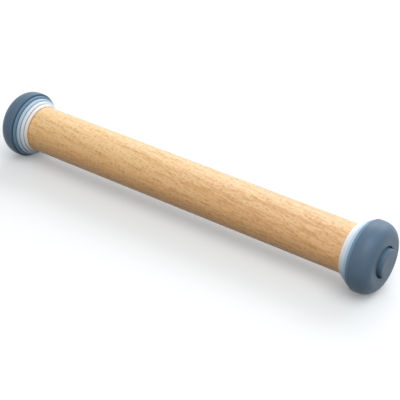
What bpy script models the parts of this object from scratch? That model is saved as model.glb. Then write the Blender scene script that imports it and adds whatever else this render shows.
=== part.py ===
"""Adjustable rolling pin: a beech roller with a stack of stepped discs bolted on each end.

The pin lies along X with its rolling discs on the worktop at Z = 0. Each end carries four flat
raise discs and one crowned end disc, all slid over the shank of an end bolt that screws into a
threaded socket glued in the roller. Lengths are in metres.
"""

import math

import bpy
from mathutils import Vector

# Roller
ROLLER_LENGTH = 0.355
ROLLER_RADIUS = 0.0225
ROLLER_EDGE_ROUND = 0.0009

# Flat raise discs: how far each lifts the roller off the worktop, and their section
WHITE_DISC_RAISE = 0.002
PALE_BLUE_DISC_RAISE = 0.004
LIGHT_BLUE_DISC_RAISE = 0.006
STEEL_BLUE_DISC_RAISE = 0.008
DISC_THICKNESS = 0.0029
DISC_EDGE_ROUND = 0.0006

# Crowned end disc
END_DISC_RAISE = 0.010
TREAD_WIDTH = 0.0051
TREAD_EDGE_ROUND = 0.0008
SHOULDER_LENGTH = 0.0129
FACE_WIDTH = 0.0073
RECESS_DEPTH = 0.0075
RECESS_RIM_ROUND = 0.0012
END_DISC_WALL = 0.0026
END_DISC_HUB_WALL = 0.0030
RIB_COUNT = 8
RIB_THICKNESS = 0.0018

# End bolt
HEAD_RADIUS = 0.0132
HEAD_STAND = 0.0039
HEAD_DRAFT = 0.0004
HEAD_EDGE_ROUND = 0.0016
SHANK_RADIUS = 0.0080
SHANK_STEP = 0.0010
THREAD_LENGTH = 0.0260
THREAD_TIP_CHAMFER = 0.0012

# Threaded socket glued in each end of the roller
SOCKET_WALL = 0.0029
SOCKET_LENGTH = 0.0290
SOCKET_FLANGE_WIDTH = 0.0030
SOCKET_FLANGE_THICKNESS = 0.0020
SOCKET_BARB_HEIGHT = 0.0005
SOCKET_BARB_LENGTH = 0.0024
SOCKET_BARB_COUNT = 3

# Clearances
FACE_GAP = 0.0003
BORE_CLEARANCE = 0.0003
HEAD_SIDE_GAP = 0.0010
BORE_END_SPACE = 0.0015
CUT_OVERRUN = 0.0010

# Facets round a turned piece, and steps along its curves
DISC_FACETS = 44
INNER_FACETS = 32
FILLET_STEPS = 2
SHOULDER_STEPS = 7
FILLET_REACH_SHARE = 0.45
MERGE_DISTANCE = 0.00001
SMOOTH_BELOW = math.radians(40)

# Sizes that follow from the ones above
FLAT_DISC_RAISES = {
    "disc_2mm": WHITE_DISC_RAISE,
    "disc_4mm": PALE_BLUE_DISC_RAISE,
    "disc_6mm": LIGHT_BLUE_DISC_RAISE,
    "disc_8mm": STEEL_BLUE_DISC_RAISE,
}
END_DISC_RADIUS = ROLLER_RADIUS + END_DISC_RAISE
END_DISC_WIDTH = TREAD_WIDTH + SHOULDER_LENGTH
AXIS_HEIGHT = END_DISC_RADIUS
ROLLER_END = ROLLER_LENGTH / 2
STACK_PITCH = DISC_THICKNESS + FACE_GAP
STACK_START = ROLLER_END + FACE_GAP
END_DISC_BACK = STACK_START + len(FLAT_DISC_RAISES) * STACK_PITCH
SHANK_BORE_RADIUS = SHANK_RADIUS + BORE_CLEARANCE
RECESS_RADIUS = HEAD_RADIUS + HEAD_SIDE_GAP
FACE_RADIUS = RECESS_RADIUS + FACE_WIDTH
END_DISC_FACE = END_DISC_BACK + END_DISC_WIDTH
RECESS_FLOOR = END_DISC_FACE - RECESS_DEPTH
HEAD_UNDERSIDE = RECESS_FLOOR + FACE_GAP
HEAD_FACE = END_DISC_FACE + HEAD_STAND
THREAD_RADIUS = SHANK_RADIUS - SHANK_STEP
SOCKET_BORE_RADIUS = THREAD_RADIUS + BORE_CLEARANCE
SOCKET_RADIUS = SOCKET_BORE_RADIUS + SOCKET_WALL
SOCKET_FLANGE_RADIUS = SOCKET_RADIUS + SOCKET_FLANGE_WIDTH
ROLLER_BORE_RADIUS = SOCKET_RADIUS + SOCKET_BARB_HEIGHT + BORE_CLEARANCE
ROLLER_BORE_FLOOR = ROLLER_END - max(SOCKET_LENGTH, THREAD_LENGTH) - BORE_END_SPACE
FLANGE_SEAT_RADIUS = SOCKET_FLANGE_RADIUS + BORE_CLEARANCE
FLANGE_SEAT = ROLLER_END - SOCKET_FLANGE_THICKNESS - FACE_GAP

# Colours as the photograph shows them, in display values from 0 to 1
BEECH = (0.87, 0.71, 0.53)
DISC_COLOURS = {
    "disc_2mm": (0.97, 0.97, 0.95),
    "disc_4mm": (0.84, 0.90, 0.94),
    "disc_6mm": (0.69, 0.76, 0.83),
    "disc_8mm": (0.42, 0.53, 0.63),
}
SLATE_BLUE = (0.36, 0.43, 0.50)
SOCKET_GREY = (0.55, 0.57, 0.60)
WOOD_ROUGHNESS = 0.55
DISC_ROUGHNESS = 0.38
SOCKET_ROUGHNESS = 0.5

# Curve that turns display values into linear light: a straight toe, then a power
TOE_END = 0.04045
TOE_SLOPE = 12.92
CURVE_OFFSET = 0.055
CURVE_POWER = 2.4


def clear_scene():
    """Remove every object that the file opened with."""
    for item in list(bpy.data.objects):
        bpy.data.objects.remove(item, do_unlink=True)


def new_collection(name):
    """Add a collection to the scene and return it."""
    collection = bpy.data.collections.new(name)
    bpy.context.scene.collection.children.link(collection)
    return collection


def linear(display):
    """Turn one display colour value into the linear value that a shader takes."""
    if display <= TOE_END:
        return display / TOE_SLOPE
    return ((display + CURVE_OFFSET) / (1 + CURVE_OFFSET)) ** CURVE_POWER


def plain_material(name, colour, roughness):
    """Make a Principled material of one colour and roughness, with no metal in it."""
    material = bpy.data.materials.new(name)
    material.use_nodes = True
    shader = material.node_tree.nodes["Principled BSDF"]
    shader.inputs["Base Color"].default_value = (*(linear(value) for value in colour), 1.0)
    shader.inputs["Roughness"].default_value = roughness
    shader.inputs["Metallic"].default_value = 0.0
    return material


def rounded_outline(corners, closed):
    """Round the corners of an outline.

    Each corner is (radius, height, fillet). A fillet is an arc that touches both sides of its
    corner, and it is held to a share of the shorter side.
    """
    points = []
    for index, (radius, height, fillet) in enumerate(corners):
        corner = Vector((radius, height))
        at_an_end = not closed and index in (0, len(corners) - 1)
        if fillet == 0 or at_an_end:
            points.append(corner)
            continue
        before = Vector(corners[index - 1][:2]) - corner
        after = Vector(corners[(index + 1) % len(corners)][:2]) - corner
        half_angle = before.angle(after) / 2
        reach = min(fillet / math.tan(half_angle), FILLET_REACH_SHARE * min(before.length, after.length))
        arc_radius = reach * math.tan(half_angle)
        middle = (before.normalized() + after.normalized()).normalized()
        centre = corner + middle * (arc_radius / math.sin(half_angle))
        start = (corner + before.normalized() * reach - centre).normalized()
        end = (corner + after.normalized() * reach - centre).normalized()
        for step in range(FILLET_STEPS + 1):
            points.append(centre + start.slerp(end, step / FILLET_STEPS) * arc_radius)
    return points


def turned(name, outline, closed, facets, collection, parent):
    """Turn an outline about the local Z axis and return the object.

    The outline runs down its outer side. Each facet's middle lies at the outline's radius, and
    one facet faces the local +X and one -X, so that a turned piece stands on a flat.
    """
    lean = math.tan(math.pi / facets)
    vertices = [(point.x, point.x * lean, point.y) for point in outline]
    edges = [(index, index + 1) for index in range(len(vertices) - 1)]
    if closed:
        edges.append((len(vertices) - 1, 0))
    mesh = bpy.data.meshes.new(name)
    mesh.from_pydata(vertices, edges, [])
    piece = bpy.data.objects.new(name, mesh)
    piece.parent = parent
    collection.objects.link(piece)
    screw = piece.modifiers.new("turn", "SCREW")
    screw.axis = "Z"
    screw.steps = facets
    screw.render_steps = facets
    screw.use_merge_vertices = True
    screw.merge_threshold = MERGE_DISTANCE
    return piece


def made_solid(piece, material):
    """Replace the object's modifiers by their result, shade it smooth and give it a material."""
    bpy.context.view_layer.update()
    evaluated = piece.evaluated_get(bpy.context.evaluated_depsgraph_get())
    mesh = bpy.data.meshes.new_from_object(evaluated)
    outline_mesh = piece.data
    piece.modifiers.clear()
    piece.data = mesh
    bpy.data.meshes.remove(outline_mesh)
    mesh.name = piece.name
    mesh.materials.clear()
    mesh.materials.append(material)
    mesh.shade_smooth()
    mesh.set_sharp_from_angle(angle=SMOOTH_BELOW)


def roller_outline():
    """Beech roller: a straight cylinder, bored and counterbored at both ends for the sockets."""
    upper_half = [
        (0, ROLLER_BORE_FLOOR, 0),
        (ROLLER_BORE_RADIUS, ROLLER_BORE_FLOOR, 0),
        (ROLLER_BORE_RADIUS, FLANGE_SEAT, 0),
        (FLANGE_SEAT_RADIUS, FLANGE_SEAT, 0),
        (FLANGE_SEAT_RADIUS, ROLLER_END, 0),
        (ROLLER_RADIUS, ROLLER_END, ROLLER_EDGE_ROUND),
    ]
    lower_half = [(radius, -height, fillet) for radius, height, fillet in reversed(upper_half)]
    return rounded_outline(upper_half + lower_half, closed=False)


def socket_outline():
    """Threaded socket: a flanged sleeve with saw-tooth barbs that hold it in the wood."""
    flange_back = ROLLER_END - SOCKET_FLANGE_THICKNESS
    inner_end = ROLLER_END - SOCKET_LENGTH
    corners = [
        (SOCKET_BORE_RADIUS, ROLLER_END, 0),
        (SOCKET_FLANGE_RADIUS, ROLLER_END, 0),
        (SOCKET_FLANGE_RADIUS, flange_back, 0),
        (SOCKET_RADIUS, flange_back, 0),
    ]
    barb_pitch = (flange_back - inner_end) / (SOCKET_BARB_COUNT + 1)
    for barb in range(1, SOCKET_BARB_COUNT + 1):
        step = flange_back - barb * barb_pitch
        corners.append((SOCKET_RADIUS, step, 0))
        corners.append((SOCKET_RADIUS + SOCKET_BARB_HEIGHT, step, 0))
        corners.append((SOCKET_RADIUS, step - SOCKET_BARB_LENGTH, 0))
    corners.append((SOCKET_RADIUS, inner_end, 0))
    corners.append((SOCKET_BORE_RADIUS, inner_end, 0))
    return rounded_outline(corners, closed=True)


def flat_disc_outline(raise_height):
    """Flat raise disc: a ring that stands proud of the roller by its raise, with eased edges."""
    radius = ROLLER_RADIUS + raise_height
    corners = [
        (SHANK_BORE_RADIUS, DISC_THICKNESS, 0),
        (radius, DISC_THICKNESS, DISC_EDGE_ROUND),
        (radius, 0, DISC_EDGE_ROUND),
        (SHANK_BORE_RADIUS, 0, 0),
    ]
    return rounded_outline(corners, closed=True)


def shoulder_points(outer_radius, face_height, length, steps):
    """Quarter ellipse from the face's edge down to the tread, without its first and last points."""
    points = []
    for step in range(1, steps):
        turn = step / steps * math.pi / 2
        radius = FACE_RADIUS + (outer_radius - FACE_RADIUS) * math.sin(turn)
        points.append((radius, face_height - length * (1 - math.cos(turn)), 0))
    return points


def end_disc_outline():
    """Crowned end disc: tread, elliptical shoulder, flat face, and a recess for the bolt head."""
    floor = RECESS_FLOOR - END_DISC_BACK
    corners = [
        (SHANK_BORE_RADIUS, floor, 0),
        (RECESS_RADIUS, floor, 0),
        (RECESS_RADIUS, END_DISC_WIDTH, RECESS_RIM_ROUND),
        (FACE_RADIUS, END_DISC_WIDTH, 0),
    ]
    corners += shoulder_points(END_DISC_RADIUS, END_DISC_WIDTH, SHOULDER_LENGTH, SHOULDER_STEPS)
    corners.append((END_DISC_RADIUS, TREAD_WIDTH, 0))
    corners.append((END_DISC_RADIUS, 0, TREAD_EDGE_ROUND))
    corners.append((SHANK_BORE_RADIUS, 0, 0))
    return rounded_outline(corners, closed=True)


def pocket_ring_outline():
    """Hollow behind the end disc's face: it follows the shoulder, the recess and the hub."""
    wall = END_DISC_WALL
    roof = END_DISC_WIDTH - wall
    floor_underside = RECESS_FLOOR - END_DISC_BACK - wall
    hub_radius = SHANK_BORE_RADIUS + END_DISC_HUB_WALL
    recess_wall_radius = RECESS_RADIUS + wall
    outer_radius = END_DISC_RADIUS - wall
    corners = [
        (hub_radius, floor_underside, 0),
        (recess_wall_radius, floor_underside, 0),
        (recess_wall_radius, roof, 0),
        (FACE_RADIUS, roof, 0),
    ]
    corners += shoulder_points(outer_radius, roof, roof - TREAD_WIDTH, SHOULDER_STEPS // 2)
    corners.append((outer_radius, TREAD_WIDTH, 0))
    corners.append((outer_radius, -CUT_OVERRUN, 0))
    corners.append((hub_radius, -CUT_OVERRUN, 0))
    return rounded_outline(corners, closed=True)


def pocket_cutter(cutters):
    """Ring of pockets, left between the end disc's ribs, as one cutter."""
    ring = turned("pocket_ring", pocket_ring_outline(), True, DISC_FACETS, cutters, None)
    for index in range(RIB_COUNT // 2):
        bpy.ops.mesh.primitive_cube_add(size=1)
        rib = bpy.context.active_object
        rib.name = f"rib_{index + 1}"
        rib.scale = (2 * END_DISC_RADIUS, RIB_THICKNESS, 2 * END_DISC_WIDTH)
        rib.rotation_euler = (0, 0, 2 * math.pi * (index + 0.5) / RIB_COUNT)
        rib.parent = ring
        for owner in list(rib.users_collection):
            owner.objects.unlink(rib)
        cutters.objects.link(rib)
        keep = ring.modifiers.new(rib.name, "BOOLEAN")
        keep.operation = "DIFFERENCE"
        keep.solver = "EXACT"
        keep.object = rib
    for cutter in cutters.objects:
        cutter.hide_render = True
        cutter.display_type = "WIRE"
    return ring


def bolt_outline():
    """End bolt: a drafted round head with a flat face, a plain shank and a threaded end."""
    shoulder = ROLLER_END - HEAD_UNDERSIDE
    tip = shoulder - THREAD_LENGTH
    corners = [
        (0, HEAD_FACE - HEAD_UNDERSIDE, 0),
        (HEAD_RADIUS - HEAD_DRAFT, HEAD_FACE - HEAD_UNDERSIDE, HEAD_EDGE_ROUND),
        (HEAD_RADIUS, 0, 0),
        (SHANK_RADIUS, 0, 0),
        (SHANK_RADIUS, shoulder + FACE_GAP, 0),
        (THREAD_RADIUS, shoulder + FACE_GAP, 0),
        (THREAD_RADIUS, tip + THREAD_TIP_CHAMFER, 0),
        (THREAD_RADIUS - THREAD_TIP_CHAMFER, tip, 0),
        (0, tip, 0),
    ]
    return rounded_outline(corners, closed=False)


def end_axis(name, turn, parent, collection):
    """Empty on the pin's axis whose +Z points out of one end."""
    axis = bpy.data.objects.new(name, None)
    axis.parent = parent
    axis.rotation_euler = (0, turn, 0)
    collection.objects.link(axis)
    return axis


def build_end(side, turn, pin_axis, collection, pockets, materials):
    """Build one end's socket, raise discs, end disc and bolt."""
    axis = end_axis(f"{side}_end_axis", turn, pin_axis, collection)

    socket = turned(f"{side}_thread_socket", socket_outline(), True, INNER_FACETS, collection, axis)
    made_solid(socket, materials["socket"])

    for index, (disc_name, raise_height) in enumerate(FLAT_DISC_RAISES.items()):
        outline = flat_disc_outline(raise_height)
        disc = turned(f"{side}_{disc_name}", outline, True, DISC_FACETS, collection, axis)
        disc.location.z = STACK_START + index * STACK_PITCH
        made_solid(disc, materials[disc_name])

    end_disc = turned(f"{side}_end_disc_10mm", end_disc_outline(), True, DISC_FACETS, collection, axis)
    end_disc.location.z = END_DISC_BACK
    pockets.parent = end_disc
    cut = end_disc.modifiers.new("pockets", "BOOLEAN")
    cut.operation = "DIFFERENCE"
    cut.solver = "EXACT"
    cut.object = pockets
    made_solid(end_disc, materials["slate"])
    pockets.parent = None

    bolt = turned(f"{side}_end_bolt", bolt_outline(), False, INNER_FACETS, collection, axis)
    bolt.location.z = HEAD_UNDERSIDE
    made_solid(bolt, materials["slate"])


def build_rolling_pin():
    """Build the whole pin."""
    clear_scene()
    collection = new_collection("adjustable_rolling_pin")
    cutters = new_collection("cutters")
    materials = {}
    for name, colour in DISC_COLOURS.items():
        materials[name] = plain_material(name, colour, DISC_ROUGHNESS)
    materials["slate"] = plain_material("slate_blue_plastic", SLATE_BLUE, DISC_ROUGHNESS)
    materials["socket"] = plain_material("grey_plastic", SOCKET_GREY, SOCKET_ROUGHNESS)
    materials["beech"] = plain_material("beech", BEECH, WOOD_ROUGHNESS)

    pin_axis = bpy.data.objects.new("pin_axis", None)
    pin_axis.location = (0, 0, AXIS_HEIGHT)
    collection.objects.link(pin_axis)

    quarter_turn = math.pi / 2
    roller_axis = end_axis("roller_axis", quarter_turn, pin_axis, collection)
    roller = turned("roller", roller_outline(), False, DISC_FACETS, collection, roller_axis)
    made_solid(roller, materials["beech"])

    pockets = pocket_cutter(cutters)
    build_end("right", quarter_turn, pin_axis, collection, pockets, materials)
    build_end("left", -quarter_turn, pin_axis, collection, pockets, materials)


build_rolling_pin()
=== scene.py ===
"""Adjustable rolling pin, dressed for its picture.

A bare beech roller carries four flat raise discs and one crowned end disc on each end, clamped by a
round-headed bolt that screws into a threaded socket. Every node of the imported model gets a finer
surface in its place, worked out from the node's own box and a few named sizes, and a procedural
finish. Lengths are in metres, in the model's frame: X along the pin, Z up from the worktop.
"""

import logging
import math
from dataclasses import dataclass, field
from enum import Enum
from functools import reduce
from typing import Sequence

import bmesh
import bpy
import numpy as np
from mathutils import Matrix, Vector


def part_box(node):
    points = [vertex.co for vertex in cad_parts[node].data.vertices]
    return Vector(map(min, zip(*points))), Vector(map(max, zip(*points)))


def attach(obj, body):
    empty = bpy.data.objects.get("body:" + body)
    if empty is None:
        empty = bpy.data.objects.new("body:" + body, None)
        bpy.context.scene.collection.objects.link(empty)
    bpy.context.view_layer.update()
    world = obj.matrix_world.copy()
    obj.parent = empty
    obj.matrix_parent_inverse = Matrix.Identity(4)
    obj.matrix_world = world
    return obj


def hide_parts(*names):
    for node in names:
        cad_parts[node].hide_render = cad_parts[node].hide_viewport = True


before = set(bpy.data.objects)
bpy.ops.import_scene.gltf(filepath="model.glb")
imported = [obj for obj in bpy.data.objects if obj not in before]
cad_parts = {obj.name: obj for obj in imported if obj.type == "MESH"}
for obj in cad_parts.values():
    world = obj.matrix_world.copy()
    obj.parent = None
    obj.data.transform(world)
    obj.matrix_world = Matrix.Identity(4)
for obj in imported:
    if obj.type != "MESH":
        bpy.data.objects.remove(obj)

Array = np.ndarray
Span = tuple[float, float]
Colour = tuple[float, float, float]
Socket = bpy.types.NodeSocket
log = logging.getLogger("rolling_pin")

PHOTO_WIDTH_PIXELS = 400
COLUMNS = 256
FILLET_STEPS = 6
HOLD_SHARE = 0.5
MERGE_DISTANCE = 1e-6
SMOOTH_BELOW = math.radians(35)
DISC_BORE_RADIUS = 0.0083
FULL: Span = (0.0, 1.0)
FADING: Span = (1.0, 0.0)
NOISE_SPAN: Span = (0.3, 0.7)
CREVICE_SAMPLES = 16
CREVICE_OPENNESS: Span = (0.25, 0.65)
WHITE_LIGHT = (1.0, 1.0, 1.0, 1.0)


class Side(Enum):
    """The pin's two ends. The value is the sign of the outward direction along X."""

    LEFT = -1
    RIGHT = 1

    @property
    def word(self) -> str:
        """The end's name as the model's nodes and bodies begin with it."""
        return self.name.lower()


def node_span(node: str, side: Side) -> Span:
    """Measure how far out along its end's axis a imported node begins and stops.

    Args:
        node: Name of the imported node.
        side: The end whose outward direction counts as positive.

    Returns:
        The nearest and the furthest distance from the pin's middle.
    """
    low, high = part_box(node)
    near, far = sorted((side.value * low[0], side.value * high[0]))
    return near, far


def node_radius(node: str) -> float:
    """Radius of a packed turned node, over its top and bottom flats."""
    low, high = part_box(node)
    return (high[2] - low[2]) / 2


def axis_height() -> float:
    """Height of the pin's axis above the worktop."""
    low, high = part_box("roller")
    return (high[2] + low[2]) / 2


def stand(name: str, data: bpy.types.ID) -> bpy.types.Object:
    """Put a mesh, a lamp or a camera into the scene as an object of its own."""
    thing = bpy.data.objects.new(name, data)
    bpy.context.scene.collection.objects.link(thing)
    return thing


# Profiles and turned surfaces


def rounded_profile(corners: Sequence[tuple[float, float, float]]) -> Array:
    """Round the corners of a profile.

    A fillet is the arc that touches both sides of its corner: its centre lies on the bisector at
    fillet / sin(half angle), and its points turn evenly between the two touching points. A point
    is added a little before and after each arc, so that the flats beside it shade flat.

    Args:
        corners: Rows of (radius, distance out, fillet). A first or last corner of an open profile
            has no fillet.

    Returns:
        Rows of (radius, distance out).
    """
    table = np.asarray(corners, dtype=float)
    here = table[:, :2]
    fillet = table[:, 2:]
    before = np.roll(here, 1, axis=0) - here
    after = np.roll(here, -1, axis=0) - here
    before /= np.linalg.norm(before, axis=1, keepdims=True)
    after /= np.linalg.norm(after, axis=1, keepdims=True)
    half = np.arccos(np.clip((before * after).sum(axis=1, keepdims=True), -1, 1)) / 2
    bisector = before + after
    bisector /= np.maximum(np.linalg.norm(bisector, axis=1, keepdims=True), MERGE_DISTANCE)
    reach = fillet / np.tan(half)
    centre = here + bisector * fillet / np.sin(half)
    start = here + before * reach
    end = here + after * reach
    sweep = (math.pi - 2 * half)[:, None]
    turn = np.linspace(0, 1, FILLET_STEPS + 1)[None, :, None]
    spread = np.maximum(np.sin(sweep), MERGE_DISTANCE)
    arc = (
        centre[:, None]
        + (start - centre)[:, None] * np.sin((1 - turn) * sweep) / spread
        + (end - centre)[:, None] * np.sin(turn * sweep) / spread
    )
    hold = fillet * HOLD_SHARE
    lead = (start + before * hold)[:, None]
    tail = (end + after * hold)[:, None]
    points = np.concatenate([lead, arc, tail], axis=1).reshape(-1, 2)
    moved = np.linalg.norm(np.diff(points, axis=0, prepend=points[:1] - 1), axis=1)
    return points[moved > MERGE_DISTANCE]


def about_the_axis(radius: Array, angle: Array, out: Array, side: Side) -> Array:
    """Turn places about the pin's axis into points of the model's frame.

    The angle turns anticlockwise seen from outside the end, so a right-handed thread is
    right-handed at both ends.

    Args:
        radius: Distances from the axis.
        angle: Angles about the axis, from straight below it at the right end and straight above
            it at the left.
        out: Distances out along the end's axis.
        side: The end that the distances are measured along.

    Returns:
        Points as rows by columns by 3.
    """
    across = radius * np.sin(angle)
    up = axis_height() - side.value * radius * np.cos(angle)
    along = np.broadcast_to(side.value * out, across.shape)
    return np.stack([along, across, up], axis=-1)


def round_the_axis(radius: Array, out: Array, side: Side) -> Array:
    """Carry a profile round the pin's axis.

    Args:
        radius: Radii, one for each row or one for each row and column.
        out: Distances out, one for each row.
        side: The end that the distances are measured along.

    Returns:
        Points as rows by columns by 3; column j lies at the angle 2 pi j / columns.
    """
    angle = np.linspace(0, 2 * math.pi, COLUMNS, endpoint=False)[None, :]
    radius = radius if radius.ndim == 2 else radius[:, None]
    return about_the_axis(radius, angle, out[:, None], side)


def smooth_step(value: Array) -> Array:
    """Rise from 0 to 1 with level ends: 3 v^2 - 2 v^3 of the value held between 0 and 1."""
    held = np.clip(value, 0, 1)
    return held * held * (3 - 2 * held)


@dataclass
class Shell:
    """Points and faces of one piece, gathered grid by grid and then closed into one mesh."""

    points: list[Array] = field(default_factory=list)
    faces: list[list[int]] = field(default_factory=list)
    count: int = 0

    def add_grid(self, grid: Array, wrap_rows: bool = False) -> Array:
        """Add a grid of points, whose last column joins the first, and the quads between them.

        Args:
            grid: Points as rows by columns by 3.
            wrap_rows: Whether the last row joins the first too.

        Returns:
            The points' numbers, as rows by columns.
        """
        rows, columns = grid.shape[:2]
        numbers = self.count + np.arange(rows * columns).reshape(rows, columns)
        wrapped = np.vstack([numbers, numbers[:1]]) if wrap_rows else numbers
        wrapped = np.hstack([wrapped, wrapped[:, :1]])
        sides = [wrapped[:-1, :-1], wrapped[:-1, 1:], wrapped[1:, 1:], wrapped[1:, :-1]]
        self.faces += np.stack(sides, axis=-1).reshape(-1, 4).tolist()
        self.points.append(grid.reshape(-1, 3))
        self.count += rows * columns
        return numbers

    def make(self, name: str) -> bpy.types.Object:
        """Close the seams and poles, turn the faces outwards and return the finished object."""
        mesh = bpy.data.meshes.new(name)
        mesh.from_pydata(np.concatenate(self.points).tolist(), [], self.faces)
        work = bmesh.new()
        work.from_mesh(mesh)
        bmesh.ops.remove_doubles(work, verts=work.verts, dist=MERGE_DISTANCE)
        bmesh.ops.recalc_face_normals(work, faces=work.faces)
        work.to_mesh(mesh)
        work.free()
        mesh.shade_smooth()
        mesh.set_sharp_from_angle(angle=SMOOTH_BELOW)
        return stand(name, mesh)


def turned_piece(name: str, profile: Array, side: Side, closed: bool) -> bpy.types.Object:
    """Turn one profile into a whole piece.

    Args:
        name: Name of the piece.
        profile: Rows of (radius, distance out).
        side: The end that the distances are measured along.
        closed: Whether the profile is a ring's section; an open one begins and ends on the axis.

    Returns:
        The finished object.
    """
    shell = Shell()
    shell.add_grid(round_the_axis(profile[:, 0], profile[:, 1], side), wrap_rows=closed)
    return shell.make(name)


# Finishes


class NodeSheet:
    """One tree of nodes, laid out by short calls."""

    def __init__(self, tree: bpy.types.NodeTree) -> None:
        """Take the tree that the calls add to."""
        self.tree = tree

    def add(self, kind: str, **settings: object) -> bpy.types.Node:
        """Add a node of a kind and set its named properties."""
        node = self.tree.nodes.new(kind)
        for key, value in settings.items():
            setattr(node, key, value)
        return node

    def feed(self, target: Socket, value: object) -> None:
        """Give an input either a link from another socket or a plain value."""
        if isinstance(value, bpy.types.NodeSocket):
            self.tree.links.new(value, target)
        else:
            target.default_value = value

    def place(self) -> Socket:
        """The point's place in the object, which is its place in the model's frame."""
        return self.add("ShaderNodeTexCoord").outputs["Object"]

    def math(self, operation: str, first: object, second: object = 0.0) -> Socket:
        """Work out one number from two."""
        node = self.add("ShaderNodeMath", operation=operation)
        self.feed(node.inputs[0], first)
        self.feed(node.inputs[1], second)
        return node.outputs[0]

    def vector(self, operation: str, first: object, second: object) -> Socket:
        """Work out one vector from two."""
        node = self.add("ShaderNodeVectorMath", operation=operation)
        self.feed(node.inputs[0], first)
        self.feed(node.inputs[1], second)
        return node.outputs[0]

    def total(self, *parts: Socket) -> Socket:
        """Add numbers up."""
        return reduce(lambda first, second: self.math("ADD", first, second), parts)

    def split(self, vector: Socket) -> list[Socket]:
        """Take a vector apart into its three numbers."""
        node = self.add("ShaderNodeSeparateXYZ")
        self.feed(node.inputs[0], vector)
        return list(node.outputs)

    def join(self, *parts: object) -> Socket:
        """Put three numbers together into a vector."""
        node = self.add("ShaderNodeCombineXYZ")
        for target, part in zip(node.inputs, parts):
            self.feed(target, part)
        return node.outputs[0]

    def noise(self, vector: Socket, scale: float = 1.0, detail: float = 2.0) -> Socket:
        """Soft noise from 0 to 1 about a half, with a cell about 1 / scale across."""
        return self.noise_node(vector, scale, detail).outputs["Fac"]

    def noise_vector(self, vector: Socket) -> Socket:
        """Three soft noises at once, each from -0.5 to 0.5, with cells about one unit across."""
        colour = self.noise_node(vector, 1.0, 2.0).outputs["Color"]
        return self.vector("SUBTRACT", colour, (0.5, 0.5, 0.5))

    def noise_node(self, vector: Socket, scale: float, detail: float) -> bpy.types.Node:
        """Add a noise node of a scale and a number of finer layers."""
        node = self.add("ShaderNodeTexNoise")
        self.feed(node.inputs["Vector"], vector)
        self.feed(node.inputs["Scale"], scale)
        self.feed(node.inputs["Detail"], detail)
        return node

    def cells(self, vector: Socket) -> tuple[Socket, Socket]:
        """Scattered cells one unit across.

        Args:
            vector: The point's place, in cells.

        Returns:
            The point's distance to its cell's middle, and the cell's own lot from 0 to 1.
        """
        node = self.add("ShaderNodeTexVoronoi")
        self.feed(node.inputs["Vector"], vector)
        self.feed(node.inputs["Scale"], 1.0)
        return node.outputs["Distance"], self.split(node.outputs["Color"])[0]

    def remap(self, value: Socket, source: Span, target: Span) -> Socket:
        """Carry a number smoothly from one span to another and hold it at the ends."""
        node = self.add("ShaderNodeMapRange", interpolation_type="SMOOTHSTEP")
        for index, number in enumerate((value, *source, *target)):
            self.feed(node.inputs[index], number)
        return node.outputs[0]

    def blend(self, share: Socket, first: object, second: object) -> Socket:
        """Mix two colours: the first where the share is 0, the second where it is 1."""
        node = self.add("ShaderNodeMix", data_type="RGBA")
        self.feed(node.inputs["Factor"], share)
        colours = [item for item in node.inputs if item.type == "RGBA"]
        for target, colour in zip(colours, (first, second)):
            self.feed(target, (*colour, 1.0) if isinstance(colour, tuple) else colour)
        return [item for item in node.outputs if item.type == "RGBA"][0]

    def crevice(self, reach: float) -> Socket:
        """1 where the surface lies deep in a gap narrower than the reach, and 0 in the open; it
        masks painted shade.
        """
        node = self.add("ShaderNodeAmbientOcclusion", samples=CREVICE_SAMPLES)
        self.feed(node.inputs["Distance"], reach)
        return self.remap(node.outputs["AO"], CREVICE_OPENNESS, FADING)

    def seen_share(self) -> Socket:
        """1 for a ray from the camera, a gloss or a clear piece, and 0 for any other."""
        path = self.add("ShaderNodeLightPath")
        kinds = ("Is Camera Ray", "Is Glossy Ray", "Is Transmission Ray")
        return self.math("MINIMUM", self.total(*(path.outputs[kind] for kind in kinds)), 1.0)


class MaterialSheet(NodeSheet):
    """One material's nodes."""

    def __init__(self, name: str) -> None:
        """Open a new material that holds only a Principled shader and the output."""
        self.material = bpy.data.materials.new(name)
        self.material.use_nodes = True
        super().__init__(self.material.node_tree)
        self.shader = self.tree.nodes["Principled BSDF"]

    def bump(self, height: Socket, depth: float, strength: float) -> None:
        """Raise the surface by a height from 0 to 1, for a full height of `depth`."""
        node = self.add("ShaderNodeBump")
        self.feed(node.inputs["Height"], height)
        self.feed(node.inputs["Distance"], depth)
        self.feed(node.inputs["Strength"], strength)
        self.feed(self.shader.inputs["Normal"], node.outputs[0])


def linear(display: Colour) -> Colour:
    """Turn a colour as a screen shows it, from 0 to 1, into linear light."""
    toe_end, toe_slope, offset, power = 0.04045, 12.92, 0.055, 2.4
    shown = np.asarray(display)
    curve = ((shown + offset) / (1 + offset)) ** power
    return tuple(np.where(shown <= toe_end, shown / toe_slope, curve).tolist())


def brighter(colour: Colour, share: float) -> Colour:
    """A linear colour with all its light scaled by 1 + share."""
    return tuple(value * (1 + share) for value in colour)


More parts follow.
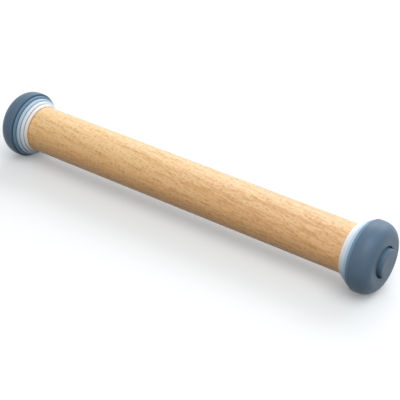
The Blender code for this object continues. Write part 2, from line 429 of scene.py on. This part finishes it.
@dataclass(frozen=True)
class MouldedPlastic:
    """Satin moulded plastic: one colour with a faint flow mottle and a spark-eroded surface.

    Attributes:
        mottle_share: How far the mottle lifts and lowers the colour, as a share of its light.
        crevice_shade_share: Share of the colour's light that is taken away deep in a gap, as
            painted shade.
    """

    slot: str
    colour: Colour
    roughness: float = 0.42
    mottle_share: float = 0.03
    mottle_size: float = 0.012
    grain_size: float = 0.00035
    grain_depth: float = 0.00002
    grain_strength: float = 0.35
    roughness_spread: float = 0.05
    specular: float = 0.30
    crevice_reach: float = 0.0012
    crevice_shade_share: float = 0.75

    def material(self) -> bpy.types.Material:
        """Lay out the nodes: a slow mottle in the colour, painted shade deep in gaps, a fine grain
        in bump and roughness.
        """
        sheet = MaterialSheet(self.slot)
        place = sheet.place()
        base = linear(self.colour)
        mottle = sheet.noise(place, 1 / self.mottle_size)
        pale = brighter(base, self.mottle_share)
        deep = brighter(base, -self.mottle_share)
        # Painted shade: the darker colour that the plastic takes deep in a gap, where shade falls.
        painted_gap_shade = brighter(base, -self.crevice_shade_share)
        open_colour = sheet.blend(mottle, deep, pale)
        # An ambient occlusion mask puts that painted shade in the gaps between the pieces.
        crevice = sheet.crevice(self.crevice_reach)
        sheet.feed(sheet.shader.inputs["Base Color"], sheet.blend(crevice, open_colour, painted_gap_shade))
        grain = sheet.noise(place, 1 / self.grain_size, detail=1.0)
        span = (self.roughness - self.roughness_spread, self.roughness + self.roughness_spread)
        sheet.feed(sheet.shader.inputs["Roughness"], sheet.remap(grain, NOISE_SPAN, span))
        sheet.shader.inputs["Specular IOR Level"].default_value = self.specular
        sheet.bump(grain, self.grain_depth, self.grain_strength)
        return sheet.material


@dataclass(frozen=True)
class Grain:
    """One layer of noise drawn out along the grain, and what it adds to the wood's tone."""

    length: float
    width: float
    noise_span: Span
    tones: Span


@dataclass(frozen=True)
class LogPlace:
    """A point's place in the log that the roller is turned from.

    Along is the distance along the log, and reach the distance from its pith. Round the pith is
    the arc about it, and arc is the same less the slope of the grain.
    """

    sheet: NodeSheet
    along: Socket
    round_pith: Socket
    arc: Socket
    reach: Socket

    def in_cells(self, length: float, width: float, run: float) -> Socket:
        """Count the place in cells: a length along, a width round the pith and a run outwards."""
        return self.sheet.join(
            self.sheet.math("DIVIDE", self.along, length),
            self.sheet.math("DIVIDE", self.arc, width),
            self.sheet.math("DIVIDE", self.reach, run),
        )

    def noise(self, grain: Grain) -> Socket:
        """Noise from 0 to 1 in the grain's cells."""
        return self.sheet.noise(self.in_cells(grain.length, grain.width, grain.width))

    def tone(self, grain: Grain) -> Socket:
        """What a layer of grain adds to the wood's tone."""
        return self.sheet.remap(self.noise(grain), grain.noise_span, grain.tones)


@dataclass(frozen=True)
class BareBeech:
    """Bare, finely sanded beech, as one solid block of wood that the roller is turned from.

    The growth rings are cylinders about a pith that lies below and behind the pin, so the side
    that faces the room is flat-sawn. Rays run out from the pith as thin ribbons: they show as
    short dark spindles on the flat-sawn side, as broad flecks at the sides and as fine radial
    lines on the end grain. Round the pith the colour turns from cream at the top to redder and
    darker low in front, which is painted shade of the underside, and towards the left end it
    grows a little paler and more golden.

    Attributes:
        low_front_shade_span: Arc round the pith over which the top's colour turns into painted
            shade.
        length_span: Place along the log over which its left look turns into its right look.
        length_tones: What the two looks add to the wood's tone.
        left_tint: What the left look multiplies the colour by; right_tint does it at the right.
        wander: Full swing of the rings about true circles.
        late_span: Share of a ring's width over which it deepens into late wood.
        ray_core: Distance from a ray's middle, in cells, over which the ray fades.
        ray_lots: Lots over which a ray grows from unseen to its full strength.
    """

    slot: str = "beech"
    top_pale: Colour = (0.980, 0.842, 0.655)
    top_deep: Colour = (0.880, 0.709, 0.503)
    # Painted shade: the redder, darker colours low in front, where the roller's underside is
    # shaded.
    low_front_shade_pale: Colour = (0.988, 0.776, 0.528)
    low_front_shade_deep: Colour = (0.888, 0.645, 0.388)
    low_front_shade_span: Span = (0.148, 0.181)
    length_span: Span = (-0.150, 0.110)
    length_tones: Span = (-0.11, 0.02)
    left_tint: Colour = (1.012, 1.009, 0.974)
    right_tint: Colour = (1.000, 0.992, 0.992)
    pith: tuple[float, float, float] = (0.0, 0.045, -0.022)
    grain_slope: float = 0.12
    wander: float = 0.0025
    wander_cells_per_metre: tuple[float, float, float] = (6.0, 24.0, 24.0)
    ring_width: float = 0.0030
    late_span: Span = (0.55, 0.97)
    late_tone: float = 0.30
    fibre: Grain = Grain(0.012, 0.00080, (0.28, 0.72), (-0.35, 0.43))
    streak: Grain = Grain(0.160, 0.0036, (0.25, 0.75), (-0.16, 0.40))
    mottle: Grain = Grain(0.0030, 0.0009, (0.30, 0.70), (-0.06, 0.26))
    pore: Grain = Grain(0.0024, 0.00022, (0.56, 0.70), FULL)
    pore_tone: float = 0.35
    pore_relief: float = 0.5
    ray_colour: Colour = (0.665, 0.400, 0.200)
    ray_length: float = 0.0050
    ray_width: float = 0.00058
    ray_run: float = 0.016
    ray_core: Span = (0.22, 0.50)
    ray_lots: Span = (0.25, 0.95)
    ray_strength: float = 0.56
    crevice_reach: float = 0.0012
    # Painted shade: the dark brown that the wood takes deep in a gap, where shade falls.
    crevice_shade_colour: Colour = (0.480, 0.360, 0.240)
    relief_depth: float = 0.00004
    relief_strength: float = 0.35
    roughness: Span = (0.45, 0.57)
    sheen: float = 0.30
    sheen_roughness: float = 0.45

    def material(self) -> bpy.types.Material:
        """Lay out the nodes from the wood's rings, rays, fibres and pores, with painted shade low
        in front and deep in gaps.
        """
        sheet = MaterialSheet(self.slot)
        place = self.log_place(sheet)
        fibre = place.noise(self.fibre)
        pore = place.tone(self.pore)
        wood = self.plain_colour(place, self.tone(place, fibre, pore))
        # Painted shade: deep in a gap, such as beside a disc, the colour turns dark brown as shade
        # would.
        crevice = sheet.crevice(self.crevice_reach)
        colour = sheet.blend(crevice, self.flecked(place, wood), linear(self.crevice_shade_colour))
        sheet.feed(sheet.shader.inputs["Base Color"], colour)
        gloss = sheet.remap(fibre, NOISE_SPAN, self.roughness)
        sheet.feed(sheet.shader.inputs["Roughness"], gloss)
        sheet.shader.inputs["Sheen Weight"].default_value = self.sheen
        sheet.shader.inputs["Sheen Roughness"].default_value = self.sheen_roughness
        sunk = sheet.math("MULTIPLY", pore, self.pore_relief)
        relief = sheet.math("SUBTRACT", fibre, sunk)
        sheet.bump(relief, self.relief_depth, self.relief_strength)
        return sheet.material

    def log_place(self, sheet: NodeSheet) -> LogPlace:
        """Work out a point's place in the log, whose rings wander slowly from a true circle."""
        place = sheet.place()
        cells = sheet.vector("MULTIPLY", place, self.wander_cells_per_metre)
        away = (0.0, self.wander, self.wander)
        shift = sheet.vector("MULTIPLY", sheet.noise_vector(cells), away)
        from_pith = sheet.vector("SUBTRACT", place, self.pith)
        _, across, up = sheet.split(sheet.vector("ADD", from_pith, shift))
        along = sheet.split(place)[0]
        squares = sheet.total(sheet.math("POWER", across, 2.0), sheet.math("POWER", up, 2.0))
        turn = sheet.math("ARCTAN2", up, across)
        round_pith = sheet.math("MULTIPLY", turn, self.pith_distance())
        slope = sheet.math("MULTIPLY", along, self.grain_slope)
        arc = sheet.math("SUBTRACT", round_pith, slope)
        return LogPlace(sheet, along, round_pith, arc, sheet.math("SQRT", squares))

    def pith_distance(self) -> float:
        """Distance from the pith to the pin's axis, which turns an angle about it into a length."""
        return math.hypot(self.pith[1], axis_height() - self.pith[2])

    def tone(self, place: LogPlace, fibre: Socket, pore: Socket) -> Socket:
        """Add up what makes the wood pale, at 0, or deep, at 1.

        Args:
            place: The point's place in the log.
            fibre: The fibres' noise, from 0 to 1.
            pore: 1 in a pore and 0 outside.

        Returns:
            The sum of late wood, fibres, streaks, mottle, pores and the drift along the roller.
        """
        sheet = place.sheet
        ring = sheet.math("FRACT", sheet.math("DIVIDE", place.reach, self.ring_width))
        return sheet.total(
            sheet.remap(ring, self.late_span, (0.0, self.late_tone)),
            sheet.remap(fibre, self.fibre.noise_span, self.fibre.tones),
            place.tone(self.streak),
            place.tone(self.mottle),
            sheet.math("MULTIPLY", pore, self.pore_tone),
            sheet.remap(place.along, self.length_span, self.length_tones),
        )

    def plain_colour(self, place: LogPlace, tone: Socket) -> Socket:
        """The wood's colour without its rays, from the top's colour to painted shade low in front,
        and from pale to deep.
        """
        sheet = place.sheet
        # Painted shade: the colour turns redder and darker low in front, round the pith from the
        # top.
        low_front_shade = sheet.remap(place.round_pith, self.low_front_shade_span, FULL)
        pale = sheet.blend(low_front_shade, linear(self.top_pale), linear(self.low_front_shade_pale))
        deep = sheet.blend(low_front_shade, linear(self.top_deep), linear(self.low_front_shade_deep))
        wood = sheet.blend(sheet.remap(tone, FULL, FULL), pale, deep)
        rightward = sheet.remap(place.along, self.length_span, FULL)
        tint = sheet.blend(rightward, linear(self.left_tint), linear(self.right_tint))
        return sheet.vector("MULTIPLY", wood, tint)

    def flecked(self, place: LogPlace, wood: Socket) -> Socket:
        """Draw the rays over the wood, as scattered spindles that are not all as dark."""
        sheet = place.sheet
        cells = place.in_cells(self.ray_length, self.ray_width, self.ray_run)
        distance, lot = sheet.cells(cells)
        spindle = sheet.remap(distance, self.ray_core, FADING)
        strength = sheet.remap(lot, self.ray_lots, (0.0, self.ray_strength))
        shown = sheet.math("MULTIPLY", spindle, strength)
        return sheet.blend(shown, wood, linear(self.ray_colour))


class Shade(Enum):
    """Finishes of the moulded pieces, as slot name, colour on a screen and roughness."""

    WHITE = MouldedPlastic("white_plastic", (0.980, 0.975, 0.960))
    PALE_BLUE = MouldedPlastic("pale_blue_plastic", (0.922, 0.956, 0.984))
    LIGHT_BLUE = MouldedPlastic("light_blue_plastic", (0.765, 0.852, 0.925))
    STEEL_BLUE = MouldedPlastic("steel_blue_plastic", (0.460, 0.582, 0.682))
    SLATE_BLUE = MouldedPlastic("slate_blue_plastic", (0.350, 0.445, 0.530), roughness=0.40)
    GREY = MouldedPlastic("grey_plastic", (0.550, 0.570, 0.600), roughness=0.5)


# Pieces of the pin


@dataclass(frozen=True)
class ScrewThread:
    """Right-handed rounded thread, shared by the bolts and the sockets.

    The phase at a point is distance out / pitch - angle / (2 pi), so a ridge climbs one pitch in
    each anticlockwise turn, and its middle lies where the phase is whole.
    """

    pitch: float = 0.0040
    depth: float = 0.0011
    crest_share: float = 0.14
    flank_share: float = 0.16
    groove_play_share: float = 0.08
    rows_per_pitch: int = 24

    def rows(self, start: float, end: float) -> Array:
        """Evenly spaced distances out between two places, close enough to draw the thread."""
        steps = math.ceil(abs(end - start) / self.pitch * self.rows_per_pitch)
        return np.linspace(start, end, steps + 1)

    def cut(self, out: Array, play_share: float) -> Array:
        """Depth of the cut below the ridge's top, from 0 to the full depth.

        Args:
            out: Distances out, one for each row.
            play_share: Extra half-width of the ridge, as a share of the pitch.

        Returns:
            One depth for each row and column.
        """
        angle = np.linspace(0, 1, COLUMNS, endpoint=False)[None, :]
        phase = out[:, None] / self.pitch - angle
        from_ridge = np.abs(phase - np.round(phase))
        past_crest = from_ridge - self.crest_share - play_share
        return self.depth * smooth_step(past_crest / self.flank_share)


@dataclass(frozen=True)
class Roller:
    """The beech roller, bored and counterbored at both ends for the sockets."""

    finish: BareBeech
    edge_round: float = 0.0009
    bore_edge_round: float = 0.0002
    glue_gap: float = 0.0003
    bore_end_space: float = 0.0015
    side_rows: int = 120

    def build(self) -> bpy.types.Object:
        """Turn the roller's section and dress it."""
        radius = node_radius("roller")
        end = node_span("roller", Side.RIGHT)[1]
        socket = ThreadSocket(Side.RIGHT)
        bore = socket.sleeve_radius + socket.barb_height + self.glue_gap
        floor = node_span(socket.node, Side.RIGHT)[0] - self.bore_end_space
        seat = end - socket.flange_thickness - self.glue_gap
        seat_radius = node_radius(socket.node) + self.glue_gap
        half = [
            (0, floor, 0),
            (bore, floor, 0),
            (bore, seat, 0),
            (seat_radius, seat, 0),
            (seat_radius, end, self.bore_edge_round),
            (radius, end, self.edge_round),
        ]
        straight = end - 2 * self.edge_round
        side = [(radius, out, 0) for out in np.linspace(straight, -straight, self.side_rows)]
        mirrored = [(r, -out, fillet) for r, out, fillet in reversed(half)]
        profile = rounded_profile(half + side + mirrored)
        piece = turned_piece("beech_roller", profile, Side.RIGHT, closed=False)
        piece.data.materials.append(self.finish.material())
        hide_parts("roller")
        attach(piece, "roller")
        return piece


@dataclass(frozen=True)
class EndPiece:
    """A piece of one end of the pin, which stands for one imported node."""

    side: Side

    def dress(
        self, piece: bpy.types.Object, node: str, body: str, slot: str, material: bpy.types.Material
    ) -> bpy.types.Object:
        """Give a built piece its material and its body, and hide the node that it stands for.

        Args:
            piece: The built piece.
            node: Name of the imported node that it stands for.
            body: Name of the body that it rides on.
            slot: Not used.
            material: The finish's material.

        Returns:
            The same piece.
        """
        piece.data.materials.append(material)
        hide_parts(node)
        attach(piece, body)
        return piece


@dataclass(frozen=True)
class RaiseDisc(EndPiece):
    """A flat raise disc with eased edges."""

    raise_name: str
    shade: Shade
    edge_round: float = 0.0006
    bore_radius: float = DISC_BORE_RADIUS
    bore_edge_round: float = 0.0002

    def build(self, material: bpy.types.Material) -> bpy.types.Object:
        """Turn the disc's section and dress it."""
        node = f"{self.side.word}_{self.raise_name}"
        back, front = node_span(node, self.side)
        radius = node_radius(node)
        profile = rounded_profile([
            (self.bore_radius, front, self.bore_edge_round),
            (radius, front, self.edge_round),
            (radius, back, self.edge_round),
            (self.bore_radius, back, self.bore_edge_round),
        ])
        name = f"{self.side.word}_{self.shade.name.lower()}_disc"
        piece = turned_piece(name, profile, self.side, closed=True)
        return self.dress(piece, node, node, self.shade.value.slot, material)


@dataclass(frozen=True)
class EndDisc(EndPiece):
    """The crowned end disc: tread, elliptical shoulder, flat face, head recess, ribs behind."""

    tread_width: float = 0.0051
    tread_edge_round: float = 0.0008
    face_width: float = 0.0073
    recess_depth: float = 0.0075
    recess_rim_round: float = 0.0012
    recess_floor_round: float = 0.0004
    head_side_gap: float = 0.0010
    bore_radius: float = DISC_BORE_RADIUS
    wall: float = 0.0026
    hub_wall: float = 0.0030
    rib_count: int = 8
    rib_thickness: float = 0.0018
    shoulder_steps: int = 40
    face_steps: int = 6
    pocket_steps: int = 12
    rib_steps: int = 8

    @property
    def node(self) -> str:
        """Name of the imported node."""
        return f"{self.side.word}_end_disc_10mm"

    @property
    def recess_radius(self) -> float:
        """Radius of the recess that the bolt's head stands in."""
        return node_radius(f"{self.side.word}_end_bolt") + self.head_side_gap

    def shell_profile(self) -> Array:
        """Section of the outer skin, from the back of the tread over the face into the bore.

        The shoulder is a quarter ellipse: radius = face radius + rise x sin(t) and distance out =
        face - length x (1 - cos(t)).
        """
        back, face = node_span(self.node, self.side)
        radius = node_radius(self.node)
        floor = face - self.recess_depth
        face_radius = self.recess_radius + self.face_width
        turn = np.linspace(math.pi / 2, 0, self.shoulder_steps + 1)
        length = face - back - self.tread_width
        shoulder_radius = face_radius + (radius - face_radius) * np.sin(turn)
        shoulder_out = face - length * (1 - np.cos(turn))
        flat_start = self.recess_radius + 2 * self.recess_rim_round
        flat_radius = np.linspace(face_radius, flat_start, self.face_steps + 1)[1:]
        return rounded_profile([
            (radius - self.tread_edge_round, back, 0),
            *self.edge_arc(radius, back),
            *((r, out, 0) for r, out in zip(shoulder_radius, shoulder_out)),
            *((r, face, 0) for r in flat_radius),
            (self.recess_radius, face, self.recess_rim_round),
            (self.recess_radius, floor, self.recess_floor_round),
            (self.bore_radius, floor, 0),
            (self.bore_radius, back, 0),
        ])

    def edge_arc(self, radius: float, back: float) -> list[tuple[float, float, float]]:
        """Quarter circle that eases the tread's back edge, without its first point."""
        turn = np.linspace(0, math.pi / 2, FILLET_STEPS + 1)[1:]
        arc_radius = radius - self.tread_edge_round * (1 - np.sin(turn))
        arc_out = back + self.tread_edge_round * (1 - np.cos(turn))
        return [(r, out, 0) for r, out in zip(arc_radius, arc_out)]

    def pocket_levels(self) -> Array:
        """Rows of (height above the back, inner radius, outer radius, half the rib's thickness).

        The first row is the sector's own edge on the back face. The outer wall is straight up to
        the tread's end and then a quarter ellipse inside the shoulder. The inner wall follows the
        hub up to the recess's floor and the recess's wall from there.
        """
        back, face = node_span(self.node, self.side)
        radius = node_radius(self.node)
        outer = radius - self.wall
        hub = self.bore_radius + self.hub_wall
        recess_wall = self.recess_radius + self.wall
        face_radius = self.recess_radius + self.face_width
        roof = face - back - self.wall
        shelf = roof - self.recess_depth
        half_rib = self.rib_thickness / 2
        rise = np.linspace(0, 1, self.pocket_steps + 1)
        height = self.tread_width + (roof - self.tread_width) * np.sin(rise * math.pi / 2)
        outer_at = face_radius + (outer - face_radius) * np.cos(rise * math.pi / 2)
        below = height < shelf
        shelf_outer = np.interp(shelf, height, outer_at)
        rows = [(0, self.bore_radius, radius - self.tread_edge_round, 0), (0, hub, outer, half_rib)]
        rows += [(h, hub, r, half_rib) for h, r in zip(height[below], outer_at[below])]
        rows += [(shelf, hub, shelf_outer, half_rib), (shelf, recess_wall, shelf_outer, half_rib)]
        rows += [(h, recess_wall, r, half_rib) for h, r in zip(height[~below], outer_at[~below])]
        return np.asarray(rows)

    def pocket_loop(self) -> tuple[Array, Array]:
        """Walk once round a pocket: the share from outer to inner wall, and from side to side.

        Returns:
            The depth share of each point, 0 at the outer wall and 1 at the inner, and its side
            share, from -1 at one rib to 1 at the next.
        """
        arc = np.linspace(-1, 1, COLUMNS // self.rib_count + 1)
        inwards = np.linspace(0, 1, self.rib_steps + 1)[1:-1]
        depth = np.concatenate([np.zeros_like(arc), inwards, np.ones_like(arc), inwards[::-1]])
        sideways = np.concatenate([arc, np.ones_like(inwards), arc[::-1], -np.ones_like(inwards)])
        return depth, sideways

    def add_pockets(self, shell: Shell) -> None:
        """Add the back face and its pockets, sector by sector.

        A point lies at radius outer + (inner - outer) x depth share, and at the side share of the
        half sector less the angle that half a rib takes there, asin(half rib / radius).

        Args:
            shell: The end disc's shell, which gets one loft and one roof for each pocket.
        """
        height, inner, outer, half_rib = self.pocket_levels().T[:, :, None]
        depth, sideways = self.pocket_loop()
        radius = outer + (inner - outer) * depth
        half_angle = math.pi / self.rib_count - np.arcsin(half_rib / radius)
        out = node_span(self.node, self.side)[0] + np.broadcast_to(height, radius.shape)
        for sector in range(self.rib_count):
            angle = sideways * half_angle + 2 * math.pi * sector / self.rib_count
            numbers = shell.add_grid(about_the_axis(radius, angle, out, self.side))
            shell.faces.append(numbers[-1].tolist())

    def build(self, material: bpy.types.Material) -> bpy.types.Object:
        """Join the turned skin and the ribbed back, and dress the disc."""
        shell = Shell()
        profile = self.shell_profile()
        shell.add_grid(round_the_axis(profile[:, 0], profile[:, 1], self.side))
        self.add_pockets(shell)
        piece = shell.make(f"{self.side.word}_slate_end_disc")
        body = f"{self.side.word}_end_disc"
        return self.dress(piece, self.node, body, Shade.SLATE_BLUE.value.slot, material)


@dataclass(frozen=True)
class EndBolt(EndPiece):
    """The end bolt: drafted round head, plain shank and threaded end."""

    thread: ScrewThread = ScrewThread()
    head_height: float = 0.0111
    head_draft: float = 0.0004
    head_edge_round: float = 0.0016
    head_base_round: float = 0.0003
    shank_radius: float = 0.0080
    thread_radius: float = 0.0070
    shank_overlap: float = 0.0003
    tip_chamfer: float = 0.0012

    @property
    def node(self) -> str:
        """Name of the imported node."""
        return f"{self.side.word}_end_bolt"

    def build(self, material: bpy.types.Material) -> bpy.types.Object:
        """Turn the head and shank, cut the thread and dress the bolt."""
        tip, face = node_span(self.node, self.side)
        radius = node_radius(self.node)
        underside = face - self.head_height
        shank_end = node_span("roller", Side.RIGHT)[1] + self.shank_overlap
        head = rounded_profile([
            (0, face, 0),
            (radius - self.head_draft, face, self.head_edge_round),
            (radius, underside, self.head_base_round),
            (self.shank_radius, underside, 0),
            (self.shank_radius, shank_end, 0),
            (self.thread_radius, shank_end, 0),
        ])
        out = self.thread.rows(shank_end, tip)
        from_shank = smooth_step((shank_end - out) / self.thread.pitch)[:, None]
        ridge = self.thread_radius - self.thread.cut(out, 0) * from_shank
        chamfer = self.thread_radius - self.tip_chamfer + (out - tip)[:, None]
        threaded = np.minimum(ridge, chamfer)
        shell = Shell()
        head_grid = np.broadcast_to(head[:, :1], (len(head), COLUMNS))
        radii = np.concatenate([head_grid, threaded, np.zeros((1, COLUMNS))])
        outs = np.concatenate([head[:, 1], out, [tip]])
        shell.add_grid(round_the_axis(radii, outs, self.side))
        piece = shell.make(f"{self.side.word}_slate_bolt")
        body = f"{self.side.word}_bolt"
        return self.dress(piece, self.node, body, Shade.SLATE_BLUE.value.slot, material)


@dataclass(frozen=True)
class ThreadSocket(EndPiece):
    """The flanged and barbed socket that is glued in the roller, with its inner thread."""

    thread: ScrewThread = ScrewThread()
    bore_radius: float = 0.0073
    wall: float = 0.0029
    flange_thickness: float = 0.0020
    flange_round: float = 0.0002
    barb_height: float = 0.0005
    barb_length: float = 0.0024
    barb_count: int = 3

    @property
    def node(self) -> str:
        """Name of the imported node."""
        return f"{self.side.word}_thread_socket"

    @property
    def sleeve_radius(self) -> float:
        """Radius of the sleeve between its barbs."""
        return self.bore_radius + self.wall

    def outer_profile(self) -> Array:
        """Section of the socket's outside, from its mouth over the flange and barbs to its end."""
        inner_end, mouth = node_span(self.node, self.side)
        flange_back = mouth - self.flange_thickness
        pitch = (flange_back - inner_end) / (self.barb_count + 1)
        corners = [
            (self.bore_radius, mouth, 0),
            (node_radius(self.node), mouth, self.flange_round),
            (node_radius(self.node), flange_back, 0),
            (self.sleeve_radius, flange_back, 0),
        ]
        for barb in range(1, self.barb_count + 1):
            step = flange_back - barb * pitch
            corners.append((self.sleeve_radius, step, 0))
            corners.append((self.sleeve_radius + self.barb_height, step, 0))
            corners.append((self.sleeve_radius, step - self.barb_length, 0))
        corners.append((self.sleeve_radius, inner_end, 0))
        corners.append((self.bore_radius, inner_end, 0))
        return rounded_profile(corners)

    def build(self, material: bpy.types.Material) -> bpy.types.Object:
        """Turn the outside, cut the inner thread and dress the socket."""
        inner_end, mouth = node_span(self.node, self.side)
        outer = self.outer_profile()
        out = self.thread.rows(inner_end, mouth)[1:-1]
        from_mouth = smooth_step((mouth - out) / self.thread.pitch)
        from_end = smooth_step((out - inner_end) / self.thread.pitch)
        fade = (from_mouth * from_end)[:, None]
        ridge = self.thread.cut(out, self.thread.groove_play_share) * fade
        outer_grid = np.broadcast_to(outer[:, :1], (len(outer), COLUMNS))
        radii = np.concatenate([outer_grid, self.bore_radius - ridge])
        outs = np.concatenate([outer[:, 1], out])
        shell = Shell()
        shell.add_grid(round_the_axis(radii, outs, self.side), wrap_rows=True)
        piece = shell.make(f"{self.side.word}_grey_socket")
        return self.dress(piece, self.node, "roller", Shade.GREY.value.slot, material)


@dataclass(frozen=True)
class PinEnd:
    """One whole end of the pin."""

    side: Side
    materials: dict[Shade, bpy.types.Material]

    def build(self) -> list[bpy.types.Object]:
        """Build the end's socket, raise discs, end disc and bolt."""
        pieces = [ThreadSocket(self.side).build(self.materials[Shade.GREY])]
        stack = {
            "disc_2mm": Shade.WHITE,
            "disc_4mm": Shade.PALE_BLUE,
            "disc_6mm": Shade.LIGHT_BLUE,
            "disc_8mm": Shade.STEEL_BLUE,
        }
        for raise_name, shade in stack.items():
            pieces.append(RaiseDisc(self.side, raise_name, shade).build(self.materials[shade]))
        pieces.append(EndDisc(self.side).build(self.materials[Shade.SLATE_BLUE]))
        pieces.append(EndBolt(self.side).build(self.materials[Shade.SLATE_BLUE]))
        return pieces


# Studio


@dataclass(frozen=True)
class Lamp:
    """A square soft lamp that faces the middle of the pin."""

    name: str
    place: tuple[float, float, float]
    size: float
    share: float

    def light(self) -> None:
        """Hang the lamp. Its share is the brightness that it alone gives a white card facing it."""
        target = Vector((0, 0, axis_height()))
        towards = target - Vector(self.place)
        lamp = bpy.data.lights.new(self.name, "AREA")
        lamp.shape = "SQUARE"
        lamp.size = self.size
        lamp.energy = math.pi**2 * towards.length_squared * self.share
        holder = stand(self.name, lamp)
        holder.location = self.place
        holder.rotation_euler = towards.to_track_quat("-Z", "Y").to_euler()


@dataclass(frozen=True)
class Studio:
    """Pale floor, even sky, soft lamps and the photograph's viewpoint.

    Attributes:
        focal_pixels: Focal length, counted in pixels of the photograph.
        floor_colour: The floor's colour as it is seen.
        floor_bounce: Its colour for the light that it throws back at the pin.
        floor_glow: Light of its own that it is seen with near the pin.
        far_floor_glow: The same at the end of far_floor_span, which is a distance from the pin.
        sky_strength: Light that the sky gives the scene.
        sky_seen: Light that it is seen with.
    """

    camera_place: tuple[float, float, float] = (0.5614, -0.7376, 0.6045)
    camera_heading: float = math.radians(126.44)
    camera_pitch: float = math.radians(-32.44)
    focal_pixels: float = 1181.5
    sensor_width_mm: float = 36.0
    floor_size: float = 8.0
    floor_colour: Colour = (0.812, 0.836, 0.851)
    floor_bounce: Colour = (0.09, 0.09, 0.09)
    floor_glow: float = 0.16
    far_floor_glow: float = 0.75
    far_floor_span: Span = (0.45, 2.20)
    sky_strength: float = 0.48
    sky_seen: float = 1.0
    lamps: tuple[Lamp, ...] = (
        Lamp("left_lamp", (-0.46, 1.10, 0.96), 0.80, 0.27),
        Lamp("back_lamp", (0.34, 1.26, 0.78), 1.00, 0.33),
        Lamp("front_lamp", (0.67, -0.47, 1.29), 1.20, 0.50),
    )

    def set_camera(self) -> None:
        """Stand the camera where the photograph was taken from and make it the scene's."""
        data = bpy.data.cameras.new("camera")
        data.sensor_width = self.sensor_width_mm
        data.lens = self.focal_pixels / PHOTO_WIDTH_PIXELS * self.sensor_width_mm
        camera = stand("camera", data)
        camera.location = self.camera_place
        tilt = math.pi / 2 + self.camera_pitch
        camera.rotation_euler = (tilt, 0, self.camera_heading - math.pi / 2)
        bpy.context.scene.camera = camera

    def lay_floor(self) -> None:
        """Lay the pale floor, which keeps shadows and looks white to the camera elsewhere."""
        half = self.floor_size / 2
        mesh = bpy.data.meshes.new("floor")
        corners = [(-half, -half, 0), (half, -half, 0), (half, half, 0), (-half, half, 0)]
        mesh.from_pydata(corners, [], [(0, 1, 2, 3)])
        floor = stand("floor", mesh)
        floor.data.materials.append(self.floor_material())

    def floor_material(self) -> bpy.types.Material:
        """Matt floor, white where the camera, a gloss or a clear piece looks at it.

        To the light that it throws back at the pin it is a dark grey, as a floor that is lit
        only round about the pin. Far from the pin, where the lamps grow weak, it glows up to
        white.
        """
        sheet = MaterialSheet("floor")
        seen = sheet.seen_share()
        colour = sheet.blend(seen, self.floor_bounce, self.floor_colour)
        sheet.feed(sheet.shader.inputs["Base Color"], colour)
        sheet.shader.inputs["Roughness"].default_value = 1.0
        sheet.shader.inputs["Specular IOR Level"].default_value = 0.0
        glow = sheet.add("ShaderNodeEmission")
        glow.inputs["Color"].default_value = WHITE_LIGHT
        length = sheet.add("ShaderNodeVectorMath", operation="LENGTH")
        sheet.feed(length.inputs[0], sheet.place())
        glows = (self.floor_glow, self.far_floor_glow)
        strength = sheet.remap(length.outputs["Value"], self.far_floor_span, glows)
        sheet.feed(glow.inputs["Strength"], sheet.math("MULTIPLY", seen, strength))
        both = sheet.add("ShaderNodeAddShader")
        sheet.feed(both.inputs[0], sheet.shader.outputs[0])
        sheet.feed(both.inputs[1], glow.outputs[0])
        output = sheet.tree.nodes["Material Output"]
        sheet.feed(output.inputs["Surface"], both.outputs[0])
        return sheet.material

    def set_sky(self) -> None:
        """Light the scene evenly from all round, with a sky that the camera sees white."""
        world = bpy.data.worlds.new("sky")
        world.use_nodes = True
        sheet = NodeSheet(world.node_tree)
        background = sheet.tree.nodes["Background"]
        background.inputs["Color"].default_value = WHITE_LIGHT
        strength = sheet.remap(sheet.seen_share(), FULL, (self.sky_strength, self.sky_seen))
        sheet.feed(background.inputs["Strength"], strength)
        bpy.context.scene.world = world

    def build(self) -> None:
        """Set the whole studio up."""
        bpy.context.scene.view_settings.view_transform = "Standard"
        self.set_camera()
        self.lay_floor()
        self.set_sky()
        for lamp in self.lamps:
            lamp.light()


def main() -> None:
    """Build the pin and its studio."""
    logging.basicConfig(level=logging.INFO, format="%(message)s")
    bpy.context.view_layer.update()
    Studio().build()
    materials = {shade: shade.value.material() for shade in Shade}
    pieces = [Roller(BareBeech()).build()]
    for side in Side:
        pieces += PinEnd(side, materials).build()
    for piece in pieces:
        log.info("%s: %d faces", piece.name, len(piece.data.polygons))


if __name__ == "__main__":
    main()
